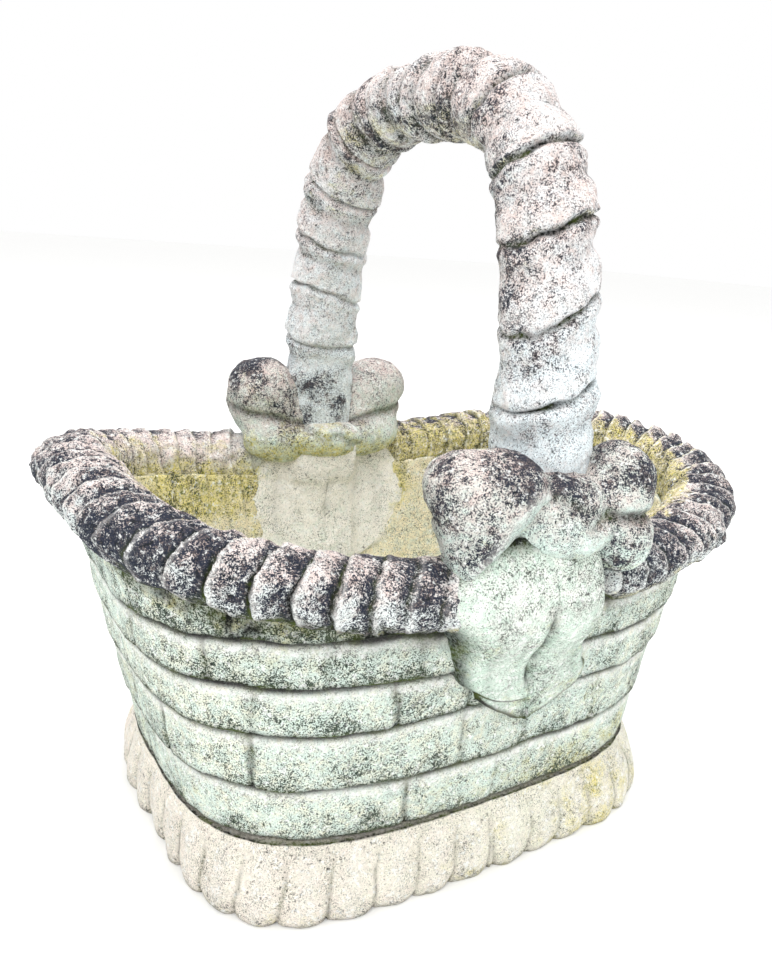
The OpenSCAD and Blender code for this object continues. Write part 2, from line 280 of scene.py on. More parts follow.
def add_piece(node, slot, body, layers, style, rough, grain=9 * MM):
    """Weathers a skinned stone, works out its layers and adds it in place of its CAD node."""
    name = node + ("_bed" if slot == "mortar" else "_stone")
    points, quads, tris = body
    if volume(points, quads) < 0:
        quads, tris = quads[:, ::-1], tris[:, ::-1]
    seed = sum(map(ord, name))
    normals = point_normals(points, quads, tris)
    wear = fractal(points, grain, seed) * rough + noise(points, 45 * MM, seed + 5) * rough
    points = points + normals * wear[:, None]
    points[:, 2] = np.maximum(points[:, 2], 0)
    normals = point_normals(points, quads, tris)
    mesh = bpy.data.meshes.new(name)
    mesh.from_pydata(points.tolist(), [], quads.tolist() + tris.tolist())
    mesh.shade_smooth()
    values = dict(cavity=0.0, crest=0.0, dirt=0.0, clean=0.0, moss=0.0)
    for key, layer in layers.items():
        values[key] = np.concatenate([np.ravel(layer), np.zeros(len(points) - np.size(layer))])
    values.update(style(points, normals))
    # The extra layers fold into the tints: dirt, which also holds painted shade, goes into grime.
    values["warm"] = values["warm"] - 0.6 * values["clean"]
    values["grime_and_shade"] = values["grime_and_shade"] + values["dirt"] - 0.25 * values["clean"]
    values["algae"] = values["algae"] + values["moss"]
    for key in ("cavity", "crest", "warm", "algae", "grime_and_shade"):
        layer = mesh.attributes.new(key, "FLOAT", "POINT")
        layer.data.foreach_set("value", np.clip(values[key] + np.zeros(len(points)), 0, 1))
    mesh.materials.append(STONES[slot])
    piece = put(name, mesh)
    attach(piece, "root")
    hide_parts(node)


# ---- Materials ----

class Tree:
    """Node tree of one material. Inputs are numbers, colours or other nodes' outputs."""

    def __init__(self, name):
        self.material = bpy.data.materials.new(name)
        self.material.use_nodes = True
        self.tree = self.material.node_tree
        self.tree.nodes.clear()
        self.place = self.node("TexCoord").outputs["Object"]

    def feed(self, socket, value):
        if isinstance(value, bpy.types.NodeSocket):
            self.tree.links.new(value, socket)
        else:
            socket.default_value = value

    def node(self, kind, inputs=(), **settings):
        made = self.tree.nodes.new("ShaderNode" + kind)
        for key, value in settings.items():
            setattr(made, key, value)
        for key, value in dict(inputs).items():
            self.feed(made.inputs[key], value)
        return made

    def math(self, operation, a, b=0.0, c=0.0, clamp=False):
        return self.node("Math", {0: a, 1: b, 2: c}, operation=operation,
                         use_clamp=clamp).outputs[0]

    def line(self, value, gain, add, clamp=False):
        """The value times gain, plus add."""
        return self.math("MULTIPLY_ADD", value, gain, add, clamp=clamp)

    def layer(self, name):
        return self.node("Attribute", attribute_name=name).outputs["Fac"]

    def noise(self, scale, detail=2.0, rough=0.5, seed=0.0, warp=0.0):
        place = self.node("Mapping", {"Vector": self.place, "Location": (seed, seed * 0.7, -seed)})
        return self.node("TexNoise", {"Vector": place.outputs[0], "Scale": scale, "Detail": detail,
                                      "Roughness": rough, "Distortion": warp}).outputs["Fac"]

    def sway(self, value, noise, gain, clamp=False):
        """The value plus a noise that swings about nothing, gain from end to end."""
        return self.math("ADD", value, self.line(noise, gain, -gain / 2), clamp=clamp)

    def step(self, value, low, high):
        return self.node("MapRange", {"Value": value, "From Min": low, "From Max": high},
                         interpolation_type="SMOOTHSTEP").outputs["Result"]

    def mix(self, factor, a, b, blend="MIX"):
        """Mix of two colours. The Mix node's colour sockets are its last A and B."""
        made = self.node("Mix", data_type="RGBA", blend_type=blend)
        sockets = [made.inputs[0]] + [s for s in made.inputs if s.type == "RGBA"]
        for socket, value in zip(sockets, (factor, a, b)):
            self.feed(socket, value)
        return [s for s in made.outputs if s.type == "RGBA"][0]

    def surface(self, colour, rough, others=()):
        """The material, with its surface made."""
        shader = self.node("BsdfPrincipled", {"Base Color": colour, "Roughness": rough,
                                              **dict(others)})
        self.node("OutputMaterial", {"Surface": shader.outputs[0]})
        return self.material


def rgb(r, g, b):
    """Linear colour from sRGB values between 0 and 255."""
    return tuple((c / 255 / 12.92 if c <= 10 else ((c / 255 + 0.055) / 1.055) ** 2.4)
                 for c in (r, g, b)) + (1.0,)


def stone(name, seed, pale, warm, dark, faded, speckle):
    """Weathered cast stone: two tints, lichen, algae, speckle and pits, from point layers."""
    t = Tree(name)
    cavity, crest, grime_and_shade = t.layer("cavity"), t.layer("crest"), t.layer("grime_and_shade")
    broad = t.noise(16, 4, 0.55, seed)
    patch = t.noise(48, 6, 0.62, seed + 3, 0.3)
    blotch = t.noise(150, 6, 0.7, seed + 7, 0.2)
    mid = t.noise(430, 4, 0.7, seed + 11)
    fine = t.noise(1050, 2, 0.65, seed + 13)

    # two tints of stone
    colour = t.mix(t.sway(t.layer("warm"), blotch, 2.2, clamp=True), pale, warm)
    shade = t.line(broad, 0.3, 0.86)
    shade = t.math("MULTIPLY", shade, t.line(mid, 1.1, 0.45))
    colour = t.mix(1.0, colour, shade, "MULTIPLY")

    # yellow-green algae
    algae = t.step(t.sway(t.layer("algae"), t.noise(60, 6, 0.72, seed + 23), 2.0), 0.3, 0.95)
    grown = t.mix(t.step(blotch, 0.44, 0.66), rgb(232, 218, 128), rgb(136, 142, 64))
    algae = t.math("MULTIPLY", algae, t.line(mid, 3.0, -0.75), clamp=True)
    colour = t.mix(algae, colour, grown)

    # charcoal lichen: broad stains broken up by finer noise, thicker where the grime layer, with
    # its painted shade, is high
    stain = grime_and_shade
    for pattern, gain in ((patch, 1.5), (blotch, 1.2), (mid, 1.4), (fine, 1.2)):
        stain = t.sway(stain, pattern, gain)
    stain = t.step(stain, 0.40, 0.66)
    soot = t.mix(t.step(blotch, 0.46, 0.66), dark, faded)
    colour = t.mix(t.math("MULTIPLY", stain, 0.94), colour, soot)

    # fine dark speckle everywhere, denser where the grime layer, dirt and painted shade, is high,
    # and larger flecks
    speck = t.sway(t.sway(fine, mid, 0.45), patch, 0.35)
    speck = t.step(t.line(grime_and_shade, 0.16, speck), 0.53, 0.64)
    colour = t.mix(t.math("MULTIPLY", speck, speckle), colour, dark)
    fleck = t.line(grime_and_shade, 0.06, t.noise(330, 4, 0.75, seed + 29))
    fleck = t.math("MULTIPLY", t.step(fleck, 0.61, 0.65), t.step(patch, 0.36, 0.54))
    colour = t.mix(t.math("MULTIPLY", fleck, 0.85), colour, rgb(30, 35, 38))

    # pale crusts of lichen, some of them over the stains
    crust = t.math("ADD", t.noise(210, 5, 0.8, seed + 19), t.math("MULTIPLY", crest, 0.07))
    crust = t.math("MULTIPLY", t.step(crust, 0.57, 0.61), 0.75)
    colour = t.mix(crust, colour, rgb(244, 246, 244))

    # moss and dirt in the joints and creases, with painted shade there too, and worn pale crests,
    # partly painted highlights
    moss = t.mix(t.step(patch, 0.44, 0.62), rgb(20, 23, 20), rgb(72, 84, 34))
    hollow = t.math("MULTIPLY", cavity, t.line(mid, 2.0, 0.1), clamp=True)
    colour = t.mix(hollow, colour, moss)
    worn = t.math("MULTIPLY", crest, t.line(mid, 2.4, -0.7), clamp=True)
    colour = t.mix(t.math("MULTIPLY", worn, 0.8), colour, rgb(238, 236, 232))

    height = t.line(mid, 0.7, t.math("MULTIPLY", fine, 0.4))
    for pattern, gain in ((blotch, 0.9), (fleck, -0.3), (stain, 0.12)):
        height = t.line(pattern, gain, height)
    bump = t.node("Bump", {"Strength": 1.0, "Distance": 0.0017, "Height": height})
    rough = t.line(t.math("SUBTRACT", mid, stain), 0.14, 0.9)
    return t.surface(colour, rough, {"Normal": bump.outputs[0], "Specular IOR Level": 0.2})


SOOT, MOULD = rgb(35, 41, 56), rgb(55, 68, 58)
ASH, SLIME = rgb(112, 100, 96), rgb(104, 116, 98)     # the same, faded
STONE_LOOKS = {
    # two tints of stone, stains fresh and faded, and how strong the speckle is
    "basket_stone": (rgb(212, 227, 217), rgb(250, 238, 208), MOULD, SLIME, 0.9),
    "rim_stone": (rgb(228, 234, 233), rgb(224, 206, 200), SOOT, ASH, 0.92),
    "foot_stone": (rgb(231, 230, 212), rgb(240, 230, 219), MOULD, ASH, 0.62),
    "handle_stone": (rgb(228, 237, 240), rgb(226, 208, 202), SOOT, ASH, 0.66),
    "ribbon_bow_stone": (rgb(212, 228, 220), rgb(218, 200, 194), SOOT, ASH, 0.8),
    "ribbon_tail_stone": (rgb(203, 223, 209), rgb(254, 250, 244), MOULD, SLIME, 0.75),
}
STONES = {name: stone(name, seed, *STONE_LOOKS[name])
          for seed, name in enumerate(STONE_LOOKS, 1)}


def plain(name, low, high, metallic=0.0, roughness=0.9, scale=300):
    """Grainy or pitted finish between two colours, for the mortar and the bar."""
    t = Tree(name)
    grain = t.noise(scale, 5, 0.7)
    colour = t.mix(t.step(grain, 0.35, 0.65), low, high)
    colour = t.mix(t.layer("warm"), colour, rgb(214, 206, 172))
    bump = t.node("Bump", {"Strength": 0.6, "Distance": 0.0008, "Height": grain})
    rough = t.line(grain, -0.2, roughness + 0.1)
    return t.surface(colour, rough, {"Metallic": metallic, "Normal": bump.outputs[0]})


STONES["mortar"] = plain("mortar", rgb(58, 56, 44), rgb(142, 138, 120))
STONES["bar_steel"] = plain("bar_steel", rgb(74, 60, 50), rgb(128, 88, 62), 0.6, 0.65, 500)


# ---- Rim ropes ----

def facing_out(p, n, a, b):
    """About 1 where a skin faces away from the basket's middle, and -1 where it faces it."""
    return n[:, 0] * p[:, 0] / a + n[:, 1] * p[:, 1] / b


def plan_angle(p):
    return np.arctan2(p[:, 1] / TOP_B, p[:, 0] / TOP_A)


def lobes(phase, seed):
    """Shingled lobes at a running phase: height from 0 to about 1, and their layers."""
    cell = np.floor(phase)
    f = phase - cell
    key = cells(cell)
    tall = 1 + 0.25 * lattice(key, seed)
    second = dent(f - 0.5 - 0.08 * lattice(key, seed + 1), 0.085) \
        * np.clip(0.5 + lattice(key, seed + 2), 0, 1)
    height = 0.34 * ramp(f, 0.0, 0.10) + 0.66 * ramp(f, 0.06, 0.86) + 0.22 * second
    height = height * (1 - ramp(f, 0.94, 1.0)) * tall
    # Dark grooves, and a darker lee just past each groove under the overhanging lobe, are stain and
    # moss and also painted shade; the pale crest near each lobe's leading edge is wear and also a
    # painted highlight.
    groove = np.maximum(dent(f - 1, 0.035), dent(f, 0.075))
    return height, dict(cavity=np.clip(groove, 0, 1), crest=dent(f - 0.88, 0.06),
                        dirt=0.36 * dent(f - 0.13, 0.16) - 0.12 * dent(f - 0.8, 0.2)
                        - 0.08 * second)


def rope_run():
    """Angles along half of the rim, from the near bow to the far one, and its length."""
    search = np.linspace(math.radians(60), math.radians(90), 400)
    end = np.interp(-ROPE_END_X, -around(RIM_A, RIM_B, RIM_N, search)[:, 0], search)
    return even_angles(RIM_A, RIM_B, RIM_N, -end, end, 720)


LOBE_LEAN = 1.15         # how far a lobe's outer side trails its inner one, in lobes
FLUTE = 2.8 * MM         # depth of the flutes that carry on down the inner wall
FLUTE_OUT = 1.0 * MM     # how far their crests stand out from the wall
ROPE_CLOSING = 26 * MM   # length over which the rope rounds off at its ends
rope_t, rope_length = rope_run()


def inner_phase(t):
    """The rope's running phase on its inner side, at any angle round the basket."""
    turned_t = np.arctan2(np.sin(t), np.abs(np.cos(t)))
    return ROPE_LOBES * np.interp(turned_t, rope_t, np.linspace(0, 1, len(rope_t))) + 0.5


def rope_half(side):
    """Half of the rim, on the side given, its lobes running from the near bow to the far one."""
    middle = around(RIM_A, RIM_B, RIM_N, rope_t)
    out = outward(middle, (0, -1), (0, 1))
    u, q = tube_grid(len(rope_t), 76)
    spot = tube_spot(u * rope_length, q, side)
    lean = LOBE_LEAN * 0.5 * (1 + np.cos(q + math.radians(10)))
    phase = ROPE_LOBES * u - lean + 0.2 * noise(spot, 34 * MM, 3) + 0.06 * noise(spot, 9 * MM, 4) \
        + 0.5
    height, layers = lobes(phase, 21 + 5 * (side > 0))
    tip = np.minimum(u, 1 - u) * rope_length
    # lobes stand less proud where they are worn: near the near bow, and along the far half
    near_worn, far_worn = (0.45, 0.55) if side < 0 else (0.8, 0.75)
    worn = mix(1.1, 0.6, ramp(noise(spot, 60 * MM, 6), -0.3, 0.6))
    worn = worn * mix(near_worn, 1, ramp(u * rope_length, 20 * MM, 170 * MM)) \
        * mix(1, far_worn, ramp(u, 0.64, 0.8))
    depth = mix(1.8, 6.6, ramp(np.sin(q + 0.3), -0.9, 0.5)) * MM
    depth = depth * mix(0.38, 1, ramp(np.cos(q), -0.9, 0.1)) * worn
    inset = depth * (1 - height) + 1.9 * MM * fractal(spot, 12 * MM, 7)
    # squarer where it comes down to the wall's inner edge, and flush with its flutes
    inner_low = ramp(-np.cos(q), 0, 0.6) * ramp(-np.sin(q), -0.1, 0.5)
    inset = mix(inset, FLUTE * (1 - height) - FLUTE_OUT, inner_low)
    square = squared(q, 2 + 4 * inner_low)
    closing = np.sqrt(np.clip(1 - (1 - np.clip(tip / ROPE_CLOSING, 0, 1)) ** 2, 0.04, 1))
    x_out = (ROPE_W - inset) * closing * square * np.cos(q)
    z_up = (ROPE_H - inset) * closing * square * np.sin(q)
    on_bed = ramp(x_out, 9 * MM, 4 * MM)
    z_up = mix(z_up, np.maximum(z_up, -BED_DROP), on_bed)
    rings = np.stack([side * (middle[:, None, 0] + out[:, None, 0] * x_out),
                      middle[:, None, 1] + out[:, None, 1] * x_out,
                      rim_z(rope_t)[:, None] + z_up], -1)
    showing = worn * ramp(np.sin(q), -1.4, -0.3) * mix(0.45, 1, ramp(np.cos(q), -0.9, -0.1))
    layers = {key: layer * showing for key, layer in layers.items()}
    # moss and painted shade along the underside, and pale lichen on the lobes' outer tips and the
    # rope's ends
    hem = ramp(np.sin(q) + 0.25 * noise(spot, 12 * MM, 36), -0.5, -0.95) * ramp(np.cos(q), -0.4, 0)
    pale = dent(q - math.radians(318), 0.5) * ramp(noise(spot, 22 * MM, 37), -0.1, 0.5)
    layers["cavity"] = np.clip(layers["cavity"] + 0.8 * hem, 0, 1)
    layers["clean"] = np.clip(0.3 * pale + 0.9 * ramp(tip, 60 * MM, 26 * MM), 0, 1)
    return skin(rings), layers


def rim_style(p, n):
    up = n[:, 2]
    low = ramp(up, 0.05, -0.6)
    inward = ramp(-facing_out(p, n, RIM_A, RIM_B), 0.0, 0.6)
    big = noise(p, 60 * MM, 41)
    flank = dent(up + 0.12, 0.32) * (1 - inward)
    under = ramp(up, -0.35, -0.8) * (1 - inward)
    left, right = ramp(p[:, 0], -0.18, -0.26), ramp(p[:, 0], 0.0, 0.12)
    lower = ramp(rim_z(plan_angle(p)) - p[:, 2], -4 * MM, 10 * MM)
    # Down-facing parts (low, under) are greener, dirtier and less warm: algae and lichen, and also
    # painted shade.
    return dict(
        warm=0.62 + 0.25 * up - 0.7 * flank - 0.2 * low,
        grime_and_shade=0.55 + 0.07 * left + 0.06 * ramp(up, -0.4, 0.3) + 0.24 * big - 0.4 * inward
        + 0.1 * under - 0.05 * flank,
        algae=0.35 * under + 0.1 * low + inward * (0.62 + 0.2 * big + 0.25 * lower)
        + 0.3 * right - 0.1 * up)


for side, word in ((1, "right"), (-1, "left")):
    add_piece("rim_rope_" + word, "rim_stone", *rope_half(side), rim_style,
              rough=0.55 * MM, grain=7 * MM)


# ---- Basket ----

COURSE_ROWS = np.concatenate([[0, 0.018, 0.045, 0.085, 0.14], np.linspace(0.21, 0.83, 10),
                              [0.89, 0.93, 0.96, 0.985]])
BLOCKS = 20              # woven blocks in each course
BLOCK_RUN = 67 * MM      # about how long one is
COVE_RISE = 24 * MM      # height of the cove between the inner wall and the floor
COVE_RUN = 22 * MM       # and its width


def course_edge(c, t):
    """Height of the wavy joint under course c."""
    if c == 0:
        return BOWL_Z + 0 * t
    if c == len(COURSE_Z) + 1:
        return wall_top(t)
    level = COURSE_Z[c - 1]
    p = wall_point(t, level) + [0, 0, c]
    return level + 3.0 * MM * noise(p, 75 * MM, 5) + 1.5 * MM * noise(p, 17 * MM, 6)


def course_relief(c, f, t, z, low, high):
    """Set-back, cavity and crest of one row of course c, a share f of the way up it."""
    p = wall_point(t, z)
    above, below = z - low, high - z
    x = (t / (2 * math.pi) % 1 * BLOCKS + 0.5 * (c % 2) + 0.17 * c) % BLOCKS
    near = np.floor(x + 0.5)
    key = cells(near % BLOCKS, c)
    gap = (x - near - 0.22 * lattice(key, 51)) * BLOCK_RUN + 2.2 * MM * noise(p, 13 * MM, 8)
    bold = np.clip(0.5 + 0.6 * lattice(key, 52), 0.05, 1)
    upright = dent(gap, 2.3 * MM) * bold
    key = cells(np.floor(x), c, 1)
    tilt = 0.7 * MM * lattice(key, 53)
    loose = 0.6 + 0.4 * ramp(noise(p + [0, 0, c], 45 * MM, 9), -0.5, 0.35)
    from_top = wall_top(t) - z
    # the top course has no joint above it, and the lowest one only the foot's below
    top, undercut, dark_edge = float(c < len(COURSE_Z)), 1.0 if c else 0.5, 1.0 if c else 0.6
    back = (2.8 * f ** 1.8 + 3.2 * dent(below, 2.2 * MM) * top
            + 3.4 * dent(above, 1.0 * MM) * undercut + 1.8 * upright) * MM + tilt
    # Dark joint lines: moss in the joints, deepened as painted shadow under each course's
    # overhanging lip.
    cavity = loose * (1.2 * dent(below, 3.2 * MM) * top + 1.4 * dent(above, 2.8 * MM) * dark_edge) \
        + 0.7 * upright
    # Each course is paler just under the joint above and darker towards its bottom: painted
    # highlight and painted shade, with some grime.
    crest = 0.9 * dent(below - 6 * MM, 4 * MM) * top
    dirt = 0.26 * ramp(f, 0.6, 0.0) - 0.14 * ramp(f, 0.5, 1.0) + 0.12 * upright
    # Dark band just under the rim: moss, and painted shade under the rope's overhang.
    fringe = ramp(from_top + 7 * MM * noise(p, 22 * MM, 10), 25 * MM, 12 * MM)
    cavity = cavity + 0.85 * fringe * (0.65 + 0.7 * noise(p, 7 * MM, 11))
    return back, dict(cavity=np.clip(cavity, 0, 1), crest=crest, dirt=dirt)


def basket():
    """Wall, floor and drain hole in one skin: up the outside, down the inside and back under."""
    cols = 500
    middle = (BASE_A + TOP_A) / 2, (BASE_B + TOP_B) / 2
    t = even_angles(*middle, 3, 0, 2 * math.pi, cols + 1)[0][:-1]
    rings, layers = [], dict(cavity=[], crest=[], dirt=[])

    def ring(points, cavity=0.0, crest=0.0, dirt=0.0):
        rings.append(points)
        for key, value in (("cavity", cavity), ("crest", crest), ("dirt", dirt)):
            layers[key].append(value + np.zeros(cols))

    for c in range(len(COURSE_Z) + 1):
        low, high = course_edge(c, t), course_edge(c + 1, t)
        for f in COURSE_ROWS:
            z = mix(low, high, f)
            back, relief = course_relief(c, f, t, z, low, high)
            ring(wall_point(t, z, back=back), **relief)
    outer, inner = wall_point(t, wall_top(t)), wall_point(t, wall_top(t), inside=True)
    for v in (0.0, 0.3, 0.7):
        ring(mix(outer, inner, v))
    # the inner edge stands up to the rope, in front of the mortar
    ring(wall_point(t, wall_top(t), inside=True, back=-2.2 * MM))
    ring(wall_point(t, wall_top(t) + MORTAR_T, inside=True, back=-1.6 * MM))
    flutes, marks = lobes(inner_phase(t), 26)
    for v in np.linspace(0, 1, 44):
        z = mix(wall_top(t) + MORTAR_T, FLOOR_Z + COVE_RISE, v)
        sway = noise(wall_point(t, z), 50 * MM, 13)
        fading = ramp(v + 0.15 * sway, 0.7, 0.0)
        ring(wall_point(t, z, inside=True, back=fading * (FLUTE_OUT - FLUTE * (1 - flutes))),
             0.16 * marks["cavity"] * fading, 0, 0.3 * marks["dirt"] * fading)
    for a in np.linspace(0.12, 1, 9) * math.pi / 2:
        z = FLOOR_Z + COVE_RISE * (1 - math.sin(a))
        ring(wall_point(t, z, inside=True, back=COVE_RUN * (1 - math.cos(a))))
    edge = rings[-1]
    drain = raised(around(DRAIN_R, DRAIN_R, 2, t), FLOOR_Z)
    for k in np.linspace(0, 1, 13)[1:]:
        ring(mix(edge, drain, k) - [0, 0, 1.5 * MM * math.sin(math.pi * k)], 0.5 * k ** 8)
    for z in (FLOOR_Z - 6 * MM, BOWL_Z + 4 * MM, BOWL_Z + 0.4 * MM):
        ring(drain * [1, 1, 0] + [0, 0, z], 0.4)
    for k in (0.05, 0.2, 0.4, 0.6, 0.78, 0.9, 0.97):
        ring(mix(drain, rings[0], k) * [1, 1, 0] + [0, 0, BOWL_Z + 0.3 * MM])
    return skin(np.array(rings), closed=True), {k: np.array(v) for k, v in layers.items()}


def basket_style(p, n):
    below_rim = wall_top(plan_angle(p)) - p[:, 2]
    inside = ramp(facing_out(p, n, TOP_A, TOP_B), 0.05, -0.2)
    streak = noise(p * [1, 1, 0.3], 30 * MM, 62)
    # under: a band just below the rim, made dirtier and greener, moss and also painted shade under
    # the rope
    under = ramp(below_rim + 7 * MM * streak, 32 * MM, 12 * MM) * (1 - inside)
    big = noise(p, 80 * MM, 61)
    middle = dent(p[:, 0], 90 * MM)
    high = ramp(p[:, 2], 130 * MM, 225 * MM)
    low_right = ramp(p[:, 2], 120 * MM, 60 * MM) * ramp(p[:, 0], -0.16, 0.04)
    # Inside, the stone is warmer and less grimy: an ochre tint, and also painted light that lifts
    # the shaded bowl.
    return dict(
        warm=0.12 + 0.2 * big + inside * 0.75,
        grime_and_shade=0.15 + 0.1 * streak + 0.1 * big + 0.07 * under + 0.1 * high * (1 - inside)
        + inside * (0.2 * big - 0.22),
        algae=0.12 + 0.22 * ramp(streak, 0.0, 0.7) + 0.35 * under
        + inside * (0.43 - 0.35 * middle + 0.6 * big - 0.15 * ramp(below_rim, 25 * MM, 5 * MM))
        + 0.36 * low_right * (1 - inside))


add_piece("basket_bowl", "basket_stone", *basket(), basket_style,
          rough=0.6 * MM, grain=10 * MM)


# ---- Foot ----

# height in millimetres, and the share of the way out from the basket's foot to the flare's edge
FOOT_FLARE = np.array([(0, 0.86), (3, 0.95), (9, 1), (17, 0.96), (26, 0.85), (36, 0.66),
                       (44, 0.44), (50, 0.25), (53, 0.14)])
LIP = 1.6 * MM           # how far the foot's top edge stands up in front of its mortar bed


def foot():
    """Skirt of leaning, rounded ribs that flares from under the basket to the ground."""
    cols, face = 880, 46
    t = even_angles(FOOT_A, FOOT_B, FOOT_N, -math.pi / 2, 1.5 * math.pi, cols + 1)[0][:-1]
    run = np.linspace(0, 1, cols, endpoint=False)
    top = BOWL_Z - MORTAR_T
    side = np.where(run < 0.5, 1.0, -1.0)      # +X half first, from the near middle
    half = np.where(run < 0.5, run, 1 - run) * 2
    rings, cavities, crests = [], [], []
    for v in np.linspace(0, 1, face):
        z = (top + LIP) * v
        out = np.interp(z / MM, FOOT_FLARE[:, 0], FOOT_FLARE[:, 1])
        lean = 0.12 * (1 - v) * ramp(half, -0.02, 0.2) * ramp(half, 1.02, 0.8)
        spot = np.stack([half * 0.6 + 0 * t, side * 0.5 + 0 * t, z + 0 * t], -1)
        phase = FOOT_RIBS / 2 * half - lean + 0.22 * noise(spot, 40 * MM, 14) \
            + 0.05 * noise(spot, 8 * MM, 18)
        cell = np.floor(phase)
        f = phase - cell
        key = cells(cell, side)
        tall = 1 + 0.25 * lattice(key, 15)
        hump = (np.sin(math.pi * f) ** 0.36) * tall + 0.1 * np.sin(2 * math.pi * f)
        inset = mix(mix(7.5, 3.4, ramp(v, 0, 0.35)), 0.8, ramp(v, 0.6, 1)) * MM * (1.05 - hump)
        xy = mix(around(BASE_A - inset, BASE_B - inset, BASE_N, t),
                 around(FOOT_A - inset, FOOT_B - inset, FOOT_N, t), out)
        rings.append(raised(xy, z))
        gap = np.minimum(f, 1 - f)
        bold = 0.25 + 0.5 * ramp(lattice(key, 19), 0, 1)
        # Dark rib gaps low down, a dark line along the top under the basket and a darker band along
        # the ground: moss and grime, with painted shade.
        cavities.append(dent(gap, 0.05) * bold * ramp(v, 1.0, 0.5) + 0.85 * ramp(v, 0.975, 1.0)
                        + 0.35 * ramp(v, 0.12, 0.0))
        crests.append(dent(f - 0.5, 0.2) * 0.4 * ramp(v, 1, 0.8))
    inner = around(FOOT_A - FOOT_W, FOOT_B - FOOT_W, BASE_N, t)
    rim = rings[-1]
    for k in (0.2, 0.4, 0.6, 0.8, 1):
        rings.append(mix(rim, raised(inner, top), k))
    for z in np.linspace(top, 0, 9)[1:]:
        rings.append(raised(inner, z))
    sole = rings[-1]
    for k in (0.2, 0.4, 0.6, 0.8, 0.95):
        rings.append(mix(sole, rings[0], k))
    blank = np.zeros((len(rings) - face, cols))
    return skin(np.array(rings), closed=True), dict(
        cavity=np.concatenate([np.array(cavities), blank]),
        crest=np.concatenate([np.array(crests), blank]))


def foot_style(p, n):
    big = noise(p, 70 * MM, 71)
    low = ramp(p[:, 2], 20 * MM, 0)
    right = ramp(p[:, 0], -0.16, 0.08)
    return dict(
        warm=0.75 + 0.2 * big - 0.45 * right,
        grime_and_shade=0.01 + 0.12 * noise(p, 30 * MM, 72) + 0.24 * low,
        algae=0.08 + 0.3 * big + 0.3 * right + 0.12 * low)


add_piece("foot_ring", "foot_stone", *foot(), foot_style, rough=0.6 * MM)


# ---- Handle ----

def handle():
    """Arch with twisted, overlapping bands that fade out above each bow."""
    rows, cols = 640, 100
    arch = ARCH_W, ARCH_TOP - SPRING_Z, ARCH_N
    t, length = even_angles(*arch, 0, math.pi, rows)
    middle = around(*arch, t) + [0, SPRING_Z]
    out = outward(middle, (1, 0), (-1, 0))
    # u is 0 at the far leg's foot and 1 at the near one's. a turns round the section: 0 faces
    # away from the arch's middle, and a quarter turn faces +X.
    u, a = tube_grid(rows, cols)
    near = ramp(u, 0.5, 0.8)
    crown = dent(u - 0.42, 0.2)
    spot = tube_spot(u * length, a)
    tilt = mix(0.12, 0.30, near) * np.sin(a - 0.25)
    phase = HANDLE_BANDS * u + tilt + 0.14 * noise(spot, 45 * MM, 16) \
        + 0.04 * noise(spot, 11 * MM, 20) + 0.66
    cell = np.floor(phase)
    # each band's lower lip overlaps the next one down, on both legs
    f = np.where(u < 0.5, 1 - (phase - cell), phase - cell)
    key = cells(cell)
    tall = 1 + 0.22 * lattice(key, 17)
    valley = dent(f - 0.42 - 0.06 * lattice(key, 23), 0.12)
    crisp = (1 - ramp(f, 0.945, 1.0)) * ramp(f, 0.0, 0.085)
    height = (crisp * (0.72 + 0.28 * ramp(f, 0.45, 0.86)) + 0.3 * dent(f - 0.15, 0.06)
              - mix(0.45, 0.8, crown) * valley) * tall
    ends = np.minimum(u, 1 - u) * length
    fade = ramp(ends, 70 * MM, 100 * MM)
    strong = mix(0.35 + 0.65 * ramp(np.cos(a) + 0.3 * np.sin(a) * near, -0.9, 0.2), 0.75, crown)
    lumps = 1.9 * MM * fractal(spot, 18 * MM, 24) * (0.5 + 0.5 * fade)
    inset = 6.2 * MM * fade * strong * (1 - height) + lumps
    flare = 2.4 * MM * dent(ends - 112 * MM, 16 * MM) * near
    rx, ry = HANDLE_X - inset + flare, HANDLE_Y - inset + flare
    side, face = rx * np.sin(a), ry * np.cos(a)
    rings = np.stack([side + 0 * u, middle[:, None, 0] + out[:, None, 0] * face,
                      middle[:, None, 1] + out[:, None, 1] * face], -1)
    feet = rings[[0, -1]]
    feet[..., 2] = SPRING_Z - BED_DROP
    rings = np.concatenate([feet[:1], rings, feet[1:]])
    bite = mix(1, 0.75, crown) * fade * strong
    wander = 0.6 + 0.5 * noise(spot, 18 * MM, 25)
    # Dark grooves where each band's lip overlaps the next: moss, and also painted shadow.
    layers = dict(cavity=1.3 * np.maximum(dent(f - 1, 0.02), dent(f, 0.04)) * bite * wander
                  + 0.3 * valley * fade * crown,
                  crest=0.35 * dent(f - 0.84, 0.06) * fade,
                  dirt=(0.14 * dent(f - 0.08, 0.1) + 0.1 * valley) * fade)
    blank = np.zeros((1, cols))
    return skin(rings), {key: np.concatenate([blank, np.clip(layer, 0, 1), blank])
                         for key, layer in layers.items()}


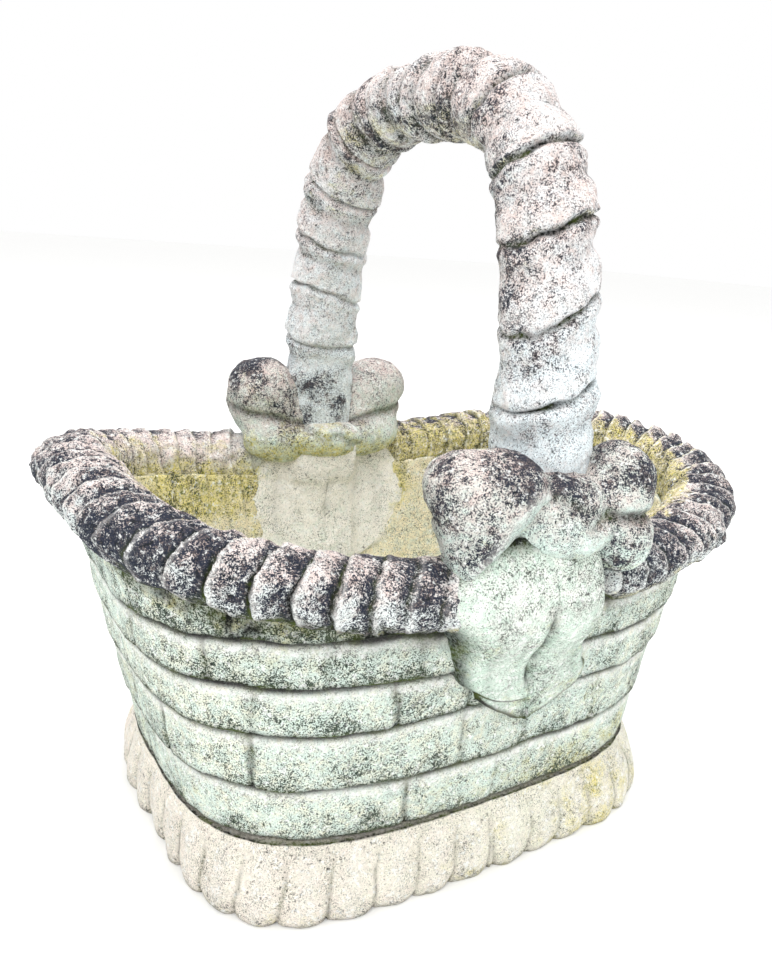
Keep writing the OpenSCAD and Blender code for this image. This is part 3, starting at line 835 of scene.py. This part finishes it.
def handle_style(p, n):
    high = ramp(p[:, 2], SPRING_Z + 120 * MM, ARCH_TOP - 60 * MM)
    # under: the crown's underside, made greener, dirtier and less warm, algae and also painted
    # shade
    under = ramp(n[:, 2], 0.1, -0.6) * ramp(p[:, 2], ARCH_TOP - 150 * MM, ARCH_TOP - 60 * MM)
    big = noise(p, 60 * MM, 81)
    # far: the far leg. Its grime is lessened as painted light, to make up for less light there; low
    # on it, more grime is added.
    far = ramp(p[:, 1], 0.0, ARCH_W)
    low = ramp(p[:, 2], SPRING_Z + 130 * MM, SPRING_Z + 60 * MM)
    return dict(
        warm=0.12 + 0.62 * high + 0.25 * big - 0.4 * under,
        grime_and_shade=0.15 + 0.12 * high + 0.16 * big + 0.2 * under - 0.12 * far
        + far * low * (0.42 + 0.5 * noise(p, 18 * MM, 82)),
        algae=0.02 + 0.45 * under + 0.1 * ramp(big, 0, 0.8) * high)


add_piece("handle_arch", "handle_stone", *handle(), handle_style, rough=0.7 * MM, grain=11 * MM)


# ---- Bows ----
# Sculpted round the near leg, at -Y, and turned half round for the back bow. Tables are in
# millimetres; a lump's place is from the leg's middle line and up from the ground.

LEG = np.array([0, -ARCH_W, 0])
KZ = KNOT_Z / MM
EDGE_AT = np.array([-57, -19, KZ]) * MM        # near the middle of the broad front loop
EDGE_FACES = np.array([0.33, -0.85, -0.41])    # the way that its turned edge faces
BALL_REACH = 90 * MM                           # no loop or knot is wider from its middle
ball_dirs, ball_quads = quad_ball(64)


def lump(p, at, size):
    """Rough distance from an ellipsoid given in millimetres, for p taken from LEG."""
    at, size = np.array(at) * MM, np.array(size) * MM
    r = np.linalg.norm((p - at) / size, axis=-1)
    return (r - 1) * size.min()


def merge(a, b, soft=6 * MM):
    """Smooth union of two distances."""
    k = np.clip(0.5 + 0.5 * (b - a) / soft, 0, 1)
    return mix(b, a, k) - soft * k * (1 - k)


def ball(centre, field):
    """Skin of a solid seen whole from its centre, where field is 0, and its layers."""
    low, high = np.zeros(len(ball_dirs)), np.full(len(ball_dirs), BALL_REACH)
    for _ in range(16):
        middle = (low + high) / 2
        inside = field(centre + ball_dirs * middle[:, None])[0] < 0
        low, high = np.where(inside, middle, low), np.where(inside, high, middle)
    points = centre + ball_dirs * low[:, None]
    _, cavity, crest, clean = field(points)
    return points, dict(cavity=cavity, crest=crest, clean=clean)


def knot_field(p):
    """Ribbon wound round the leg: a broad wedge outside, a low mossy roll inside."""
    q = p - LEG
    body = merge(lump(q, (-5, -24, KZ + 3), (41, 28, 22)), lump(q, (0, -27, KZ - 12), (42, 28, 20)))
    body = merge(body, lump(q, (0, 18, KZ - 30), (42, 25, 19)), 16 * MM)
    x, y, z = q[:, 0], q[:, 1], q[:, 2]
    outer, inner = ramp(y, -8 * MM, -26 * MM), ramp(y, 8 * MM, 26 * MM)
    fold = z - (KNOT_Z - 2 * MM) - 0.3 * (x - 14 * MM)
    pleat = dent(fold, 4 * MM) * outer * ramp(x, -10 * MM, 18 * MM)
    second = dent(z - (KNOT_Z + 9 * MM) + 0.3 * (x + 8 * MM), 3.5 * MM) * outer \
        * ramp(x, 14 * MM, -20 * MM)
    roll = dent(z - (KNOT_Z - 26 * MM) - 0.3 * x + 5 * MM * noise(q, 16 * MM, 97), 4 * MM) * inner
    cut = (2.2 * pleat + 1.4 * second + 2.0 * roll) * MM
    return body + cut, np.clip(0.4 * pleat + 0.3 * second + 0.3 * roll, 0, 1), 0 * x, 0 * x


def loop_field(creased, edge_out, lumps):
    """Folded loop astride the rim, on the left, merged from lumps given by place and size, and
    bevelled by the ribbon's turned edge, which lies edge_out millimetres from EDGE_AT."""
    def field(p):
        q = p - LEG
        body = lump(q, *lumps[0])
        for place, size in lumps[1:]:
            body = merge(body, lump(q, place, size), 12 * MM)
        x, y, z = q[:, 0], q[:, 1], q[:, 2]
        outer, inner = ramp(y, -16 * MM, -34 * MM), ramp(y, -20 * MM, -2 * MM)
        wavy = 3 * MM * noise(q, 26 * MM, 98)
        crease = dent(z - (KNOT_Z - 1 * MM) - 0.12 * (x + 30 * MM) + wavy, 4 * MM) \
            * outer * creased
        fold = dent(z - (KNOT_Z - 11 * MM) + 0.25 * (x + 40 * MM) + wavy, 4 * MM) * inner
        body = body + (3.0 * crease + 2.6 * fold) * MM
        edge = (q - EDGE_AT) @ EDGE_FACES - edge_out * MM + 0.5 * wavy
        shape = -merge(-edge, -body, 1.2 * MM)
        ridge = dent(edge - body, 2.2 * MM)
        cavity = np.clip(0.7 * crease + 0.6 * fold, 0, 1)
        return shape, cavity, 0.6 * ridge, ramp(edge - body, -1 * MM, 2 * MM)
    return field


def bow_style(p, n):
    up = n[:, 2]
    big = noise(p, 34 * MM, 91)
    inner = ramp(np.abs(p[:, 1]), ARCH_W + 4 * MM, ARCH_W - 14 * MM)
    low = ramp(p[:, 2], KNOT_Z + 2 * MM, KNOT_Z - 30 * MM)
    right = ramp(p[:, 0] * -np.sign(p[:, 1]), 18 * MM, 26 * MM)
    soot = right * ramp(p[:, 2], KNOT_Z + 4 * MM, KNOT_Z + 18 * MM) * ramp(p[:, 1], 0, -0.1)
    return dict(
        warm=0.5 + 0.4 * up + 0.15 * big - 0.35 * low - 0.1 * soot,
        grime_and_shade=0.36 + 0.12 * ramp(up, -0.2, 0.6) + 0.42 * big - 0.22 * low + 0.3 * soot
        - 0.16 * inner,
        algae=0.10 + 0.22 * ramp(up, 0.1, -0.7) + inner * (0.12 + 0.3 * low) + 0.1 * big)


def knot_style(p, n):
    layers = bow_style(p, n)
    inner = ramp(np.abs(p[:, 1]), ARCH_W, ARCH_W - 22 * MM)
    layers["algae"] = layers["algae"] + inner * (0.35 * noise(p, 26 * MM, 92) - 0.05)
    layers["warm"] = layers["warm"] - 0.2
    layers["grime_and_shade"] = layers["grime_and_shade"] - 0.2 - 0.1 * inner
    return layers


# Tails, from top to hem: height above the leg's spring, reach from the basket's middle, and width
FALLS = {
    "outer_left": [(43, 198, 42), (30, 207, 56), (17, 212, 70), (0, 216, 76), (-24, 210, 56),
                   (-46, 192, 52), (-64, 184, 51), (-78, 180, 50), (-90, 176, 49),
                   (-100, 173, 48), (-110, 171, 47)],
    "outer_right": [(43, 198, 44), (30, 207, 50), (17, 212, 53), (0, 216, 54), (-24, 210, 54),
                    (-46, 192, 56), (-64, 184, 58), (-78, 180, 59), (-90, 176, 59),
                    (-100, 173, 58), (-110, 171, 57)],
    "inner_left": [(24, 121, 50), (8, 122, 74), (-8, 124, 88), (-26, 127, 95), (-46, 128, 96),
                   (-72, 124, 88), (-92, 119, 66), (-112, 115, 8)],
}
FALLS["inner_right"] = [(z, y, w * 0.72) for z, y, w in FALLS["inner_left"]]
HEM_RISE = 27 * MM       # how far the outer pair's hem rises from the point in the middle
INNER_EDGE = 4.6 * MM    # thickness of the inner pair at their sides


def smooth_table(table, v):
    """Catmull-Rom curve through the table's rows, at v between 0 and 1."""
    rows = np.array(table, float)
    rows = np.concatenate([[2 * rows[0] - rows[1]], rows, [2 * rows[-1] - rows[-2]]])
    x = v * (len(rows) - 3)
    i = np.minimum(x.astype(int), len(rows) - 4)
    f = (x - i)[:, None]
    a, b, c, d = rows[i], rows[i + 1], rows[i + 2], rows[i + 3]
    return 0.5 * (2 * b + (c - a) * f + (2 * a - 5 * b + 4 * c - d) * f**2
                  + (3 * b - a - 3 * c + d) * f**3)


def wall_reach(x, z, inside):
    """How far from the basket's middle its wall is, straight in from x and z."""
    k = np.clip((z - BOWL_Z) / (SPRING_Z - BED_DROP - MORTAR_T - BOWL_Z), 0, 1)
    a, b, n = wall_plan(k, inside)
    return b * (1 - np.clip(np.abs(x) / a, 0, 1) ** n) ** (1 / n)


def over_rim(z):
    """1 where a tail lies over the rim's joint, and 0 where it hangs below."""
    return ramp(z, SPRING_Z - BED_DROP - 8 * MM, SPRING_Z - BED_DROP + 2 * MM)


def outer_lie(x, z, face, v, w, wander, left):
    """Where an outer tail's back and front lie, its cleft, and its other dark creases."""
    # over the rim the back goes in behind the rope's face and the leg's
    back = mix(wall_reach(x, z, False) - 4 * MM, ARCH_W + 14 * MM, over_rim(z))
    cleft = dent(w + wander, 0.09) * ramp(v, 0.26, 0.4) * ramp(v, 0.74, 0.6)
    roll = np.sqrt(np.clip(1 - np.clip((w - 0.55) / 0.45, 0, 1) ** 2.6, 0, 1))
    depth = np.abs(face - back) * 0.92 * roll - (5.5 * cleft + 1.6 * side_fold(v, w)) * MM
    # the left pillow ends short of the pointed hem of the ribbon's under layer
    line = (0.76 + 0.16 * w if left else 1.2) + 0.3 * wander
    under_layer = np.minimum(depth, 10.5 * MM * roll ** 0.5)
    depth = mix(depth, under_layer, ramp(v, line - 0.012, line + 0.012))
    # Dark creases along the under layer's hem, the ends and the outer edge: moss, and painted shade
    # at the outer edge against the wall.
    creases = dent(v - line - 0.014, 0.018) + 0.8 * dent(w - 1, 0.07 + 0.05 * ramp(v, 0.4, 0.8)) \
        + dent(v, 0.05) + dent(v - 1, 0.034)
    return back, back + thick(depth, v), cleft, creases


def inner_lie(x, z, face, v, w, wander):
    """The same for an inner tail."""
    # over the rim the back goes into the leg, and is flush with the wall beside the leg
    flush = wall_reach(x, z, True) + 4 * MM
    beside = ramp(np.abs(x), 22 * MM, 40 * MM)
    back = mix(flush, mix(ARCH_W - 16 * MM, flush, beside), over_rim(z))
    cleft = dent(w + wander, 0.08) * ramp(v, 0.3, 0.45) * ramp(v, 0.75, 0.6)
    depth = INNER_EDGE + (np.abs(face - back) - INNER_EDGE) * (0.94 - 0.06 * cleft) \
        * np.clip(1 - w ** 2, 0, 1) ** 1.3
    depth = np.minimum(depth, mix(26, 8, ramp(np.abs(x), 14 * MM, 46 * MM)) * MM)
    return back, back - thick(depth - 0.8 * MM * side_fold(v, w), v), 0.3 * cleft, 0 * x


def side_fold(v, w):
    """Shallow fold beside a tail's outer edge."""
    return dent(w - 0.62 - 0.1 * v, 0.07) * ramp(v, 0.15, 0.45) * ramp(v, 0.9, 0.6)


def thick(depth, v):
    """The depth, thinned at the hem and never nothing."""
    return np.maximum(depth * (0.8 + 0.2 * ramp(v, 1.0, 0.98)), 0.6 * MM)


def tail(kind):
    """Ribbon's end lying down the wall: a pillowed apron with a rolled, pointed hem."""
    rows, cols, back_cols = 130, 66, 12
    outer, left = kind.startswith("outer"), kind.endswith("left")
    v, w = np.linspace(0, 1, rows)[:, None], np.linspace(0, 1, cols)[None, :]
    z, face, wide = (smooth_table(FALLS[kind], v[:, 0]) * MM).T[..., None]
    z = z + SPRING_Z
    wander = 0.06 * noise(np.concatenate([z, 0 * z, 0 * z], -1), 30 * MM, 99)[:, None]
    x = (-1 if left else 1) * np.maximum(wide, 4 * MM) * w
    if outer:
        z = z + HEM_RISE * w ** 1.2 * ramp(v, 0.55, 1.0)
        back, front, cleft, creases = outer_lie(x, z, face, v, w, wander, left)
        x = x + mix(-20, 8, ramp(v, 0.2, 1.0)) * MM
        buried, moss = back - 2 * MM, 0 * x
    else:
        z = z + 0 * w
        back, front, cleft, creases = inner_lie(x, z, face, v, w, wander)
        buried, moss = back + 2 * MM, 0.7 * ramp(w + 0.8 * wander, 0.45, 0.95)
    skin_front = np.stack([x, -front, z], -1)
    pick = np.linspace(cols - 1, 0, back_cols).astype(int)
    skin_back = np.stack([x, -buried, z], -1)[:, pick]
    rough = 0.7 + 0.8 * noise(skin_front, 6 * MM, 31)
    cavity = cleft * rough + creases + 0.2 * dent(v - 1, 0.03) + 0.12 * side_fold(v, w)
    layers = dict(cavity=np.clip(cavity, 0, 1), moss=moss,
                  crest=dent(w - 0.45, 0.3) * ramp(v, 0, 0.4) * 0.4)
    return skin(np.concatenate([skin_front, skin_back], axis=1)), {
        key: np.pad(layer, ((0, 0), (0, back_cols))) for key, layer in layers.items()}


def tail_style(p, n):
    big = noise(p, 40 * MM, 95)
    inner = ramp(np.abs(p[:, 1]), ARCH_W - 6 * MM, ARCH_W - 14 * MM)
    high = ramp(p[:, 2], SPRING_Z - 50 * MM, SPRING_Z + 20 * MM)
    right = ramp(p[:, 0] * -np.sign(p[:, 1]), 0, 50 * MM)
    # The inner tails are made warmer, cleaner and less green: painted light that lifts them where
    # they sit in shade inside the basket.
    return dict(
        warm=0.06 + 0.16 * big + 0.9 * inner + 0.3 * high,
        grime_and_shade=0.18 + 0.14 * big - 0.38 * inner,
        algae=0.1 + (0.35 * big + 0.28 * right + 0.12) * (1 - high) * (1 - inner) - 0.4 * inner)


LOOPS = {
    # how deep the crease is, how far out the turned edge is, and lumps by place and half-sizes
    "front_left": (0.0, 24, [
        ((-58, -18, KZ + 4), (34, 31, 33)), ((-71, -10, KZ + 18), (21, 24, 19)),
        ((-45, -25, KZ + 20), (21, 23, 19)), ((-68, -27, KZ - 26), (17, 18, 17)),
        ((-31, -21, KZ - 2), (24, 26, 23)), ((-44, 2, KZ - 22), (22, 16, 15))]),
    "front_right": (1.0, 90, [
        ((-44, -27, KZ), (20, 26, 27)), ((-47, -24, KZ + 19), (21, 28, 22)),
        ((-44, -34, KZ - 22), (22, 25, 22)), ((-26, -23, KZ - 4), (22, 27, 26)),
        ((-41, 8, KZ - 27), (23, 19, 17))]),
    "back_left": (0.0, 60, [
        ((-58, -9, KZ + 1), (38, 31, 34)), ((-66, -8, KZ + 17), (31, 28, 24)),
        ((-32, -14, KZ - 2), (27, 28, 26)), ((-42, 12, KZ - 29), (42, 19, 21))]),
    "back_right": (1.0, 90, [
        ((-50, -9, KZ + 1), (35, 31, 34)), ((-54, -8, KZ + 17), (29, 28, 25)),
        ((-32, -14, KZ - 2), (25, 28, 27)), ((-38, 12, KZ - 30), (40, 19, 22))]),
}


def add_bow(where, turn):
    """Knot, two loops and four tails, turned by the signs given."""
    shapes = {"knot": (LEG + [0, -4 * MM, KNOT_Z - 10 * MM], knot_field, 1, knot_style)}
    for side, mirror in (("left", 1), ("right", -1)):
        loop = LOOPS[where + "_" + side]
        middle = LEG + np.array(loop[-1][0][0]) * MM
        shapes[side + "_loop"] = (middle, loop_field(*loop), mirror, bow_style)
    for part, (centre, field, mirror, style) in shapes.items():
        points, layers = ball(centre, field)
        body = points * [mirror, 1, 1] * turn, ball_quads, NO_TRIS
        add_piece(where + "_bow_" + part, "ribbon_bow_stone", body, layers, style,
                  rough=1.1 * MM, grain=14 * MM)
    for kind in FALLS:
        (points, quads, tris), layers = tail(kind)
        add_piece(where + "_bow_" + kind + "_tail", "ribbon_tail_stone",
                  (points * turn, quads, tris), layers, tail_style, rough=0.7 * MM, grain=12 * MM)


add_bow("front", np.array([1, 1, 1]))
add_bow("back", np.array([-1, -1, 1]))


# ---- Mortar and bar ----

def bed(low, high, inner, outer):
    """Mortar bed between two heights and two plans, round the basket at the angles BED_T."""
    rings = [raised(mix(inner, outer, across), mix(low, high, up)) for across, up in (
        (0, 0), (0, 0.5), (0, 1), (0.33, 1), (0.66, 1), (1, 1), (1, 0.5), (1, 0), (0.66, 0),
        (0.33, 0))]
    return skin(np.array(rings), closed=True), {}


def mortar_style(p, n):
    inside = ramp(facing_out(p, n, TOP_A, TOP_B), 0.05, -0.2) * ramp(p[:, 2], BOWL_Z, FLOOR_Z)
    return dict(warm=0.9 * inside, grime_and_shade=0.0, algae=0.0)


BED_T = np.linspace(0, 2 * math.pi, 420, endpoint=False)
add_piece("foot_mortar", "mortar", *bed(
    BOWL_Z - MORTAR_T, BOWL_Z,
    around(FOOT_A - FOOT_W + 4 * MM, FOOT_B - FOOT_W + 4 * MM, BASE_N, BED_T),
    around(BASE_A - 4 * MM, BASE_B - 4 * MM, BASE_N, BED_T)), mortar_style, rough=0.5 * MM)
add_piece("rim_mortar", "mortar", *bed(
    wall_top(BED_T), wall_top(BED_T) + MORTAR_T + 1 * MM,
    around(INNER_TOP_A + 3 * MM, INNER_TOP_B + 3 * MM, RIM_N, BED_T),
    around(TOP_A - 2.5 * MM, TOP_B - 2.5 * MM, RIM_N, BED_T)), mortar_style, rough=0.3 * MM)
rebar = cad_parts["handle_rebar"]
rebar.data.materials.clear()
rebar.data.materials.append(STONES["bar_steel"])


# ---- Floor, light and camera ----

FLOOR_REACH = 20
LIGHTS = {"key": ((-2.2, -2.6, 4.2), 2.4, 112), "top": ((0.1, 0.0, 3.0), 1.6, 54),
          "back": ((0.5, 1.9, 1.7), 1.4, 5)}       # place, size and watts
LIT = Vector((0, 0, 0.2))                          # what the lights face
CAMERA_AT = Vector((-0.3712, -0.5531, 0.4470))
CAMERA_FACES = Vector((0.515, 0.805, -0.294))
CAMERA_ROLL = 0.078                                # radians
CAMERA_LENS, CAMERA_SENSOR = 31.12, 36             # millimetres
CAMERA_SHIFT = 0.0032, 0.0114                      # shares of the picture's longer side


def studio():
    plane = bpy.data.meshes.new("floor")
    plane.from_pydata([(FLOOR_REACH * x, FLOOR_REACH * y, 0)
                       for x, y in ((-1, -1), (1, -1), (1, 1), (-1, 1))], [], [(0, 1, 2, 3)])
    plane.materials.append(Tree("floor").surface(rgb(252, 252, 251), 0.9))
    put("floor", plane)
    world = bpy.data.worlds.new("studio")
    world.use_nodes = True
    world.node_tree.nodes["Background"].inputs["Color"].default_value = (1.0, 1.0, 1.0, 1)
    world.node_tree.nodes["Background"].inputs["Strength"].default_value = 1.0
    bpy.context.scene.world = world
    for name, (at, size, power) in LIGHTS.items():
        light = bpy.data.lights.new(name, "AREA")
        light.size, light.energy = size, power
        lamp = put(name, light)
        lamp.location = at
        lamp.rotation_euler = (LIT - Vector(at)).to_track_quat("-Z", "Y").to_euler()


def camera():
    data = bpy.data.cameras.new("camera")
    data.lens, data.sensor_width = CAMERA_LENS, CAMERA_SENSOR
    data.shift_x, data.shift_y = CAMERA_SHIFT
    data.clip_start = 0.01
    eye = put("camera", data)
    level = CAMERA_FACES.to_track_quat("-Z", "Y").to_matrix().to_4x4()
    eye.matrix_world = Matrix.Translation(CAMERA_AT) @ level @ Matrix.Rotation(CAMERA_ROLL, 4, "Z")
    bpy.context.scene.camera = eye


studio()
camera()
bpy.context.scene.view_settings.view_transform = "Standard"
